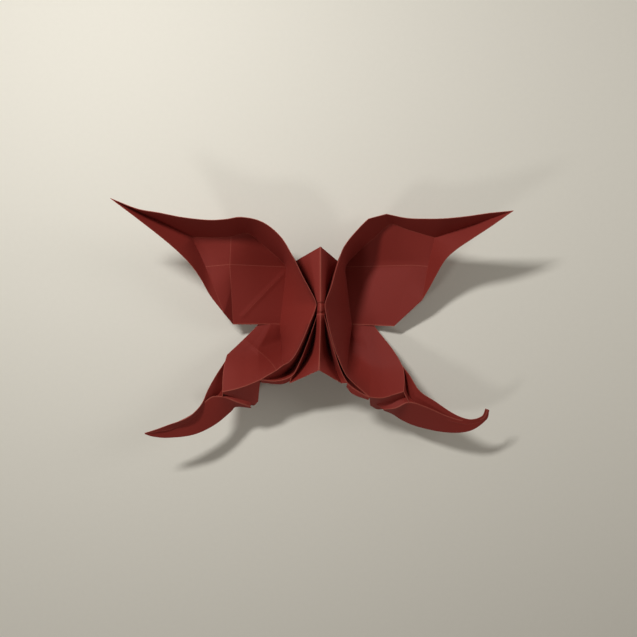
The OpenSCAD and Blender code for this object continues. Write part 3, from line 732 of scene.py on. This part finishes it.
# %% Tails
def tail_strip(side, line):
    keel, ridge = line["keel"], line["ridge"]
    root = straight(keel[0], keel[KEEL_ROOT * SPAN], 2 * SPAN)
    add_face(side, "short wall", ruled(line["tail hinge"], root, SMALL_ACROSS), (RIM, VALLEY, 0, 0))
    outer = ruled(line["tail outer"], keel, TAIL_ACROSS)
    add_face(side, "outer tail", outer, (FREE_END, VALLEY, 0, 0))
    inner = ruled(line["tail top"], spans(keel, KEEL_ROOT, TAIL_END), TAIL_ACROSS)
    add_face(side, "inner tail", inner, (MOUNTAIN, VALLEY, 0, 0))
    front = ruled(ridge, line["lower"], TAIL_ACROSS)
    add_face(side, "front tail", front, (MOUNTAIN, 0, 0, 0))


for side, (w, line) in drawn_wings.items():
    tail_strip(side, line)
print(len(sheet_faces), "faces so far")

# %% Under-folded panels
BEHIND_RIM = (0, -0.6, -4)
PANEL_BOWS = {
    "left": [[0, 1.1, -6.9, -5.6], [0.3, -0.5, -7.1, -6.6], [0.65, -0.3, -3.6, -3.6],
             [1, -0.1, -0.6, -0.4]],
    "right": [[0, 0.7, -3.1, -6], [0.3, 0.3, -4.9, -7.4], [0.75, 0.3, -4.5, -5.5],
              [1, 0.9, -3.4, -3.5]],
}


def under_panels(side, w, line):
    rim, ridge = spans(line["rim"], RIM_TURN, RIM_HIND), line["ridge"]
    panel_edge = smooth(through(w["rim_turn"], w["hind"], PANEL_BOWS[side]))
    add_face(side, "under panel", ruled(rim, panel_edge, TAIL_ACROSS), (RIM, 0, 0, 0))
    upper = straight(moved(rim[0], BEHIND_RIM), moved(rim[-1], BEHIND_RIM), 2 * SPAN)
    behind = ruled(upper, spans(ridge, 0, RIDGE_ROOT), SMALL_ACROSS)
    add_face(side, "panel behind", behind, (0, MOUNTAIN, 0, 0))
    root = ridge[RIDGE_ROOT * SPAN]
    from_rim = straight(w["hind"], root, SMALL_ACROSS)
    from_panel = straight(upper[-1], root, SMALL_ACROSS)
    add_face(side, "root gusset", ruled(from_rim, from_panel, SMALL_ACROSS))


for side, (w, line) in drawn_wings.items():
    under_panels(side, w, line)
print(len(sheet_faces), "faces so far")

# %% [markdown]
# ## Body
# Between the wings the sheet stands up as a small tent. Its ridge is worn pale, and at the
# waist all the pleats are pinched into one narrow roll.

# %% Body
SHOULDER = (ROLL_HALF_W, 0, -0.9)


def over_shoulder(top, bottom):
    """From the ridge over the edge of the roll down to a valley."""
    shoulder = moved(top, SHOULDER)
    return joined(straight(top, shoulder, ACROSS // 2), straight(shoulder, bottom, ACROSS // 2))


def tent(top, end, valley, first):
    """One flank of the body, from its straight ridge down to its valley."""
    ridge = straight(top, end, len(valley) - 1)
    return stretched(ridge, valley, first, straight(end, valley[-1], ACROSS))


def body(side, w, line):
    head, abdomen = head_valley(w, 3 * SPAN), line["abdomen valley"]
    far_end = np.array(ABDOMEN_END) * (MIRROR if side == "left" else 1)
    front_shoulder = over_shoulder(WAIST_FRONT, head[0])
    back_shoulder = over_shoulder(WAIST_BACK, abdomen[0])
    head_face = tent(WAIST_FRONT, HEAD_END, head, front_shoulder)
    add_face(side, "head", head_face, (MOUNTAIN, VALLEY, 0, FREE_END))
    abdomen_face = tent(WAIST_BACK, far_end, abdomen, back_shoulder)
    add_face(side, "abdomen", abdomen_face, (MOUNTAIN, VALLEY, 0, FREE_END))
    ridge = roll_ridge()
    beside_roll = straight(head[0], abdomen[0], len(ridge) - 1)
    roll = stretched(ridge, beside_roll, front_shoulder, back_shoulder)
    add_face(side, "roll", roll, (MOUNTAIN, 0, RIM, RIM))


for side, (w, line) in drawn_wings.items():
    body(side, w, line)
print(len(sheet_faces), "faces:", ", ".join(face["name"] for face in sheet_faces))

# %% [markdown]
# ## From grids to a sheet with thickness
# All grids go into one mesh. Points that fall together where a face runs out to a tip are
# merged (the stored distances stay apart, as each face keeps its own at its corners), and a
# Solidify modifier then gives the middle surface the thickness of the paper.
# The narrow faces that it adds along the cut edges get a material of their own, because the
# core of dyed paper shows a little paler there.

# %% Mesh of the middle surface
def grid_faces(rows, columns, offset):
    i, j = np.meshgrid(np.arange(rows - 1), np.arange(columns - 1), indexing="ij")
    a = offset + i * columns + j
    return np.stack([a, a + 1, a + columns + 1, a + columns], axis=-1).reshape(-1, 4)


def sheet_mesh():
    points, quads, reach = [], [], []
    for face in sheet_faces:
        rows, columns = face["grid"].shape[:2]
        quads += grid_faces(rows, columns, len(points)).tolist()
        points += (face["grid"].reshape(-1, 3) * MM).tolist()
        reach += (face["reach"].reshape(-1, 4) / FAR_AWAY).clip(0, 1).tolist()
    mesh = bpy.data.meshes.new("folded_paper")
    mesh.from_pydata(points, [], quads)
    layer = mesh.attributes.new("to_folds", "FLOAT_COLOR", "CORNER")
    layer.data.foreach_set("color", np.array(reach, "f")[np.ravel(quads)].ravel())
    mesh.polygons.foreach_set("use_smooth", [True] * len(mesh.polygons))
    return mesh


def link(name, data):
    thing = bpy.data.objects.new(name, data)
    bpy.context.scene.collection.objects.link(thing)
    return thing


sheet = link("folded_paper", sheet_mesh())
print(len(sheet.data.vertices), "points,", len(sheet.data.polygons), "quads")

# %% Thickness
SAME_POINT = 0.002

weld = sheet.modifiers.new("weld", "WELD")
weld.merge_threshold = SAME_POINT * MM
solid = sheet.modifiers.new("thickness", "SOLIDIFY")
solid.thickness = PAPER_T * MM
solid.offset = 0
solid.material_offset_rim = 1
print("modifiers on the sheet:", [modifier.name for modifier in sheet.modifiers])

# %% [markdown]
# ## Small helpers for node trees
# A material is a tree of small steps, and the same few steps come back in all of them: a sum or
# a minimum, a mix of two colours, a noise pattern, and a ramp from one range to another.

# %% Node helpers
def new_material(name):
    material = bpy.data.materials.new(name)
    material.use_nodes = True
    nodes = material.node_tree.nodes
    nodes.clear()
    return material, nodes, material.node_tree.links


def math_node(nodes, links, operation, *inputs):
    node = nodes.new("ShaderNodeMath")
    node.operation = operation
    for k, value in enumerate(inputs):
        if isinstance(value, (int, float)):
            node.inputs[k].default_value = value
        else:
            links.new(value, node.inputs[k])
    return node.outputs[0]


def mix_colour(nodes, links, share, first, second):
    """In the colour form of this node, input 0 is the share, and 6 and 7 are the colours."""
    node = nodes.new("ShaderNodeMix")
    node.data_type = "RGBA"
    for socket, value in ((0, share), (6, first), (7, second)):
        if isinstance(value, tuple):
            node.inputs[socket].default_value = value
        else:
            links.new(value, node.inputs[socket])
    return node.outputs[2]


def noise(nodes, links, place, scale, detail, stretch=(1, 1, 1)):
    mapping = nodes.new("ShaderNodeMapping")
    mapping.inputs["Scale"].default_value = stretch
    links.new(place, mapping.inputs["Vector"])
    node = nodes.new("ShaderNodeTexNoise")
    node.inputs["Scale"].default_value = scale
    node.inputs["Detail"].default_value = detail
    links.new(mapping.outputs[0], node.inputs["Vector"])
    return node.outputs["Fac"]


def ramp(nodes, links, value, seen, wanted, interpolation="LINEAR"):
    """Turn the range that is seen into the range that is wanted."""
    node = nodes.new("ShaderNodeMapRange")
    node.interpolation_type = interpolation
    for k, number in enumerate((*seen, *wanted)):
        node.inputs[k + 1].default_value = number
    links.new(value, node.inputs[0])
    return node.outputs[0]


def tinted(colour, factor, lift=0):
    """The same colour, darker or paler."""
    return tuple(min(1, factor * c + lift) for c in colour[:3]) + (1,)


def surface(nodes, links, colour, specular):
    """A surface shader with its output. The caller sets how rough it is."""
    shader = nodes.new("ShaderNodeBsdfPrincipled")
    links.new(colour, shader.inputs["Base Color"])
    shader.inputs["Specular IOR Level"].default_value = specular
    output = nodes.new("ShaderNodeOutputMaterial")
    links.new(shader.outputs[0], output.inputs[0])
    return shader


# %% [markdown]
# ## Red paper
# Dyed paper is matt and a little uneven: the dye clouds over centimetres, the fibres make a
# fine grain, and where the sheet has been folded the dye is rubbed and the line turns paler.
# The distance to the nearest fold was stored on the mesh, so the rubbed line follows every
# fold by itself. A very small bump gives the fibres their tooth.

# %% Colours and patterns of the paper
PAPER_RED = (0.176, 0.0138, 0.0082, 1)
RUBBED_RED = (0.36, 0.085, 0.057, 1)
CORE_RED = (0.29, 0.050, 0.034, 1)
NOISE_RANGE = (0.3, 0.7)
CLOUDS_PER_M = 90
CLOUD_DETAIL = 3
CLOUD_SHADE = 0.8
CLOUD_SHARE = 0.16
GRAIN_PER_M = 2600
GRAIN_DETAIL = 4
GRAIN_STRETCH = (1, 0.45, 1)
GRAIN_RANGE = (0.35, 0.75)
GRAIN_TINT = 1.35
GRAIN_LIFT = 0.01
GRAIN_SHARE = 0.14
SPECKS_PER_M = 5200
SPECK_DETAIL = 1
SPECK_SHARE = 0.4

# %% Wear, sheen and tooth of the paper
RUBBED_REACH = 0.42
RUBBED_GRAIN_RANGE = (0.2, 0.8)
RUBBED_STRENGTH = (0.4, 0.8)
RUBBED_EVERYWHERE = (0.35, 0.75)
PAPER_ROUGHNESS = (0.66, 0.8)
PAPER_SPECULAR = 0.28
TOOTH_STRENGTH = 0.35
TOOTH_H = 0.04


# %% Paper material
def rubbed_line(nodes, links, grain):
    """How rubbed the dye is at this distance from the nearest fold, broken up by the grain."""
    layer = nodes.new("ShaderNodeAttribute")
    layer.attribute_name = "to_folds"
    parts = nodes.new("ShaderNodeSeparateColor")
    links.new(layer.outputs["Color"], parts.inputs[0])
    nearest = parts.outputs[0]
    for distance in (parts.outputs[1], parts.outputs[2], layer.outputs["Alpha"]):
        nearest = math_node(nodes, links, "MINIMUM", nearest, distance)
    line = ramp(nodes, links, nearest, (0, RUBBED_REACH / FAR_AWAY), (1, 0), "SMOOTHSTEP")
    broken = ramp(nodes, links, grain, RUBBED_GRAIN_RANGE, RUBBED_STRENGTH)
    return math_node(nodes, links, "MULTIPLY", line, broken)


def tooth(nodes, links, grain, specks):
    """The fibres stand up a little, as a bump."""
    bump = nodes.new("ShaderNodeBump")
    bump.inputs["Strength"].default_value = TOOTH_STRENGTH
    bump.inputs["Distance"].default_value = TOOTH_H * MM
    speck_height = math_node(nodes, links, "MULTIPLY", specks, SPECK_SHARE)
    links.new(math_node(nodes, links, "ADD", grain, speck_height), bump.inputs["Height"])
    return bump.outputs[0]


def paper_material(name, rubbed_everywhere=False, base=PAPER_RED):
    material, nodes, links = new_material(name)
    place = nodes.new("ShaderNodeTexCoord").outputs["Object"]
    clouds = noise(nodes, links, place, CLOUDS_PER_M, CLOUD_DETAIL)
    grain = noise(nodes, links, place, GRAIN_PER_M, GRAIN_DETAIL, GRAIN_STRETCH)
    specks = noise(nodes, links, place, SPECKS_PER_M, SPECK_DETAIL)
    cloudy = ramp(nodes, links, clouds, NOISE_RANGE, (0, CLOUD_SHARE))
    colour = mix_colour(nodes, links, cloudy, base, tinted(base, CLOUD_SHADE))
    fibrous = ramp(nodes, links, grain, GRAIN_RANGE, (0, GRAIN_SHARE))
    colour = mix_colour(nodes, links, fibrous, colour, tinted(base, GRAIN_TINT, GRAIN_LIFT))
    if rubbed_everywhere:
        rubbed = ramp(nodes, links, clouds, NOISE_RANGE, RUBBED_EVERYWHERE)
    else:
        rubbed = rubbed_line(nodes, links, grain)
    colour = mix_colour(nodes, links, rubbed, colour, RUBBED_RED)
    shader = surface(nodes, links, colour, PAPER_SPECULAR)
    links.new(ramp(nodes, links, grain, (0, 1), PAPER_ROUGHNESS), shader.inputs["Roughness"])
    links.new(tooth(nodes, links, grain, specks), shader.inputs["Normal"])
    return material


red_paper = paper_material("red paper")
cut_edge = paper_material("cut paper edge", True, CORE_RED)
worn_fold = paper_material("worn fold", True)
print("materials:", red_paper.name, cut_edge.name, worn_fold.name)

# %% [markdown]
# ## Rounded folds
# Where two faces meet, the fibres of the paper bend round, they don't end. Geometry Nodes lay
# a thin round rod along every fold: the fold lines go in as bare edges, Mesh to Curve joins
# them up and Curve to Mesh sweeps a small circle along. The radius of the rods and the number
# of their sides are inputs of the tree.

# %% Fold lines as edges
FOLD_NAMES = ["foot", "outer fold", "trail fold", "tail hinge", "keel", "tail top", "lip", "pocket",
              "abdomen valley"]


def folds_of(side, w, line):
    folded = [spans(line["rim"], RIM_LOBE, RIM_HIND), head_valley(w, SPAN)]
    folded += [line[name] for name in FOLD_NAMES]
    return [fold * (MIRROR if side == "left" else 1) for fold in folded]


def fold_edges_mesh(fold_lines):
    points, edges = [], []
    for fold in fold_lines:
        start = len(points)
        points += (fold * MM).tolist()
        edges += [(start + k, start + k + 1) for k in range(len(fold) - 1)]
    mesh = bpy.data.meshes.new("fold_lines")
    mesh.from_pydata(points, edges, [])
    return mesh


body_ridge = joined(straight(HEAD_END, WAIST_FRONT, 3 * SPAN), roll_ridge(),
                    straight(WAIST_BACK, ABDOMEN_END, 3 * SPAN))
fold_lines = [fold for side, (w, line) in drawn_wings.items() for fold in folds_of(side, w, line)]
folds = link("fold_lines", fold_edges_mesh(fold_lines + [body_ridge]))
print(len(fold_lines) + 1, "fold lines with", len(folds.data.edges), "edges")

# %% Rods along the folds
FOLD_R = 0.55 * PAPER_T
ROD_SIDES = 8


def fold_rods(material):
    tree = bpy.data.node_groups.new("rounded folds", "GeometryNodeTree")
    tree.is_modifier = True
    face = tree.interface
    face.new_socket("Geometry", in_out="INPUT", socket_type="NodeSocketGeometry")
    radius = face.new_socket("Fold radius", in_out="INPUT", socket_type="NodeSocketFloat")
    sides = face.new_socket("Sides", in_out="INPUT", socket_type="NodeSocketInt")
    face.new_socket("Geometry", in_out="OUTPUT", socket_type="NodeSocketGeometry")
    add = tree.nodes.new
    start, end = add("NodeGroupInput"), add("NodeGroupOutput")
    curve, circle = add("GeometryNodeMeshToCurve"), add("GeometryNodeCurvePrimitiveCircle")
    sweep, smooth_faces = add("GeometryNodeCurveToMesh"), add("GeometryNodeSetShadeSmooth")
    real, paint = add("GeometryNodeRealizeInstances"), add("GeometryNodeSetMaterial")
    sweep.inputs["Fill Caps"].default_value = True
    paint.inputs["Material"].default_value = material
    join = tree.links.new
    join(start.outputs["Geometry"], curve.inputs[0])
    join(start.outputs["Fold radius"], circle.inputs["Radius"])
    join(start.outputs["Sides"], circle.inputs["Resolution"])
    join(curve.outputs[0], sweep.inputs["Curve"])
    join(circle.outputs[0], sweep.inputs["Profile Curve"])
    join(sweep.outputs[0], smooth_faces.inputs["Geometry"])
    join(smooth_faces.outputs[0], real.inputs[0])
    join(real.outputs[0], paint.inputs["Geometry"])
    join(paint.outputs[0], end.inputs[0])
    return tree, radius.identifier, sides.identifier


tree, radius_socket, sides_socket = fold_rods(worn_fold)
rods = folds.modifiers.new("rounded folds", "NODES")
rods.node_group = tree
rods[radius_socket] = FOLD_R * MM
rods[sides_socket] = ROD_SIDES
print("rods of radius", round(FOLD_R, 3), "mm with", ROD_SIDES, "sides")

# %% [markdown]
# ## One finished piece
# The evaluated objects are turned into plain meshes, which is what an export needs, and the
# rods are joined to the sheet, because the real butterfly is one piece of paper.

# %% Bake the modifiers and join
SHARP_TURN = math.radians(35)


def plain_mesh(thing):
    graph = bpy.context.evaluated_depsgraph_get()
    return bpy.data.meshes.new_from_object(thing.evaluated_get(graph))


sheet.data.materials.append(red_paper)
sheet.data.materials.append(cut_edge)
bpy.context.view_layer.update()
thick_sheet = link("folded_paper_sheet", plain_mesh(sheet))
thick_folds = link("paper_folds", plain_mesh(folds))
bpy.data.objects.remove(sheet)
bpy.data.objects.remove(folds)
both = [thick_sheet, thick_folds]
with bpy.context.temp_override(
        active_object=thick_sheet, object=thick_sheet,
        selected_editable_objects=both, selected_objects=both):
    bpy.ops.object.join()
thick_sheet.data.set_sharp_from_angle(angle=SHARP_TURN)
print("finished sheet:", len(thick_sheet.data.polygons), "faces,",
      [m.name for m in thick_sheet.data.materials])

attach(thick_sheet, "root")
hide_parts("folded_sheet")

# %% [markdown]
# ## Table and light
# The table is pale and slightly warm. A small lamp stands close by, ahead and to the left, so
# the shadows spread away from it and grow softer with height. A dim lamp from behind left, a
# wide one from the right and an even sky fill them.

# %% Table
TABLE_HALF = 900
TABLE_COLOUR = (0.72, 0.69, 0.61, 1)
TABLE_SHADE = 0.8
TABLE_SPECKS_PER_M = 700
TABLE_SPECK_DETAIL = 3
TABLE_SPECK_SHARE = 0.06
TABLE_ROUGHNESS = 0.9
TABLE_SPECULAR = 0.1


def table_material():
    material, nodes, links = new_material("pale table")
    place = nodes.new("ShaderNodeTexCoord").outputs["Object"]
    specks = noise(nodes, links, place, TABLE_SPECKS_PER_M, TABLE_SPECK_DETAIL)
    speckled = ramp(nodes, links, specks, NOISE_RANGE, (0, TABLE_SPECK_SHARE))
    colour = mix_colour(nodes, links, speckled, TABLE_COLOUR, tinted(TABLE_COLOUR, TABLE_SHADE))
    shader = surface(nodes, links, colour, TABLE_SPECULAR)
    shader.inputs["Roughness"].default_value = TABLE_ROUGHNESS
    return material


half = TABLE_HALF * MM
table_corners = [(-half, -half, 0), (half, -half, 0), (half, half, 0), (-half, half, 0)]
table_mesh = bpy.data.meshes.new("table")
table_mesh.from_pydata(table_corners, [], [(0, 1, 2, 3)])
table_mesh.materials.append(table_material())
table = link("table", table_mesh)
print("table:", 2 * TABLE_HALF, "mm wide")

# %% Lamps
MIDDLE = (0, 0, 0)
LAMP_PLACE = (-116, 126, 222)
LAMP_TARGET = (65, 45, 0)
LAMP_SIZE = (70, 26)
LAMP_ROLL = math.radians(-31)
LAMP_POWER = 0.57
FILL_PLACE = (-229, -194, 300)
FILL_SIZE = (70, 70)
FILL_POWER = 0.22
RIGHT_PLACE = (250, 60, 180)
RIGHT_SIZE = (140, 140)
RIGHT_POWER = 0.15


def lamp(name, place, target, size, power, roll=0):
    data = bpy.data.lights.new(name, "AREA")
    data.shape = "ELLIPSE"
    data.size, data.size_y = size[0] * MM, size[1] * MM
    data.energy = power
    thing = link(name, data)
    thing.location = [c * MM for c in place]
    aim = (Vector(target) - Vector(place)).to_track_quat("-Z", "Y")
    thing.rotation_euler = (aim @ Quaternion((0, 0, 1), roll)).to_euler()
    print(f"{name}: {power} W, {size[0]} x {size[1]} mm")


lamp("key lamp", LAMP_PLACE, LAMP_TARGET, LAMP_SIZE, LAMP_POWER, LAMP_ROLL)
lamp("fill lamp", FILL_PLACE, MIDDLE, FILL_SIZE, FILL_POWER)
lamp("right lamp", RIGHT_PLACE, MIDDLE, RIGHT_SIZE, RIGHT_POWER)

# %% [markdown]
# ## Sky
# The sky gives dim, warm light from all sides. Where a camera, a mirror or a glass would see
# it behind the table, it shows a plain pale colour at strength 1 instead.

# %% Sky
SKY_LIGHT = 0.13
SKY_COLOUR = (1, 0.91, 0.78, 1)
SKY_SEEN = (0.86, 0.84, 0.79, 1)

world = bpy.data.worlds.new("sky")
bpy.context.scene.world = world
world.use_nodes = True
nodes, links = world.node_tree.nodes, world.node_tree.links
nodes.clear()
path = nodes.new("ShaderNodeLightPath").outputs
seen = math_node(nodes, links, "MAXIMUM", path["Is Camera Ray"], path["Is Glossy Ray"])
seen = math_node(nodes, links, "MAXIMUM", seen, path["Is Transmission Ray"])
light, shown = nodes.new("ShaderNodeBackground"), nodes.new("ShaderNodeBackground")
light.inputs["Strength"].default_value = SKY_LIGHT
light.inputs["Color"].default_value = SKY_COLOUR
shown.inputs["Color"].default_value = SKY_SEEN
choose, output = nodes.new("ShaderNodeMixShader"), nodes.new("ShaderNodeOutputWorld")
links.new(seen, choose.inputs[0])
links.new(light.outputs[0], choose.inputs[1])
links.new(shown.outputs[0], choose.inputs[2])
links.new(choose.outputs[0], output.inputs[0])
bpy.context.scene.view_settings.view_transform = "Standard"
print("sky at", SKY_LIGHT, "of full strength")
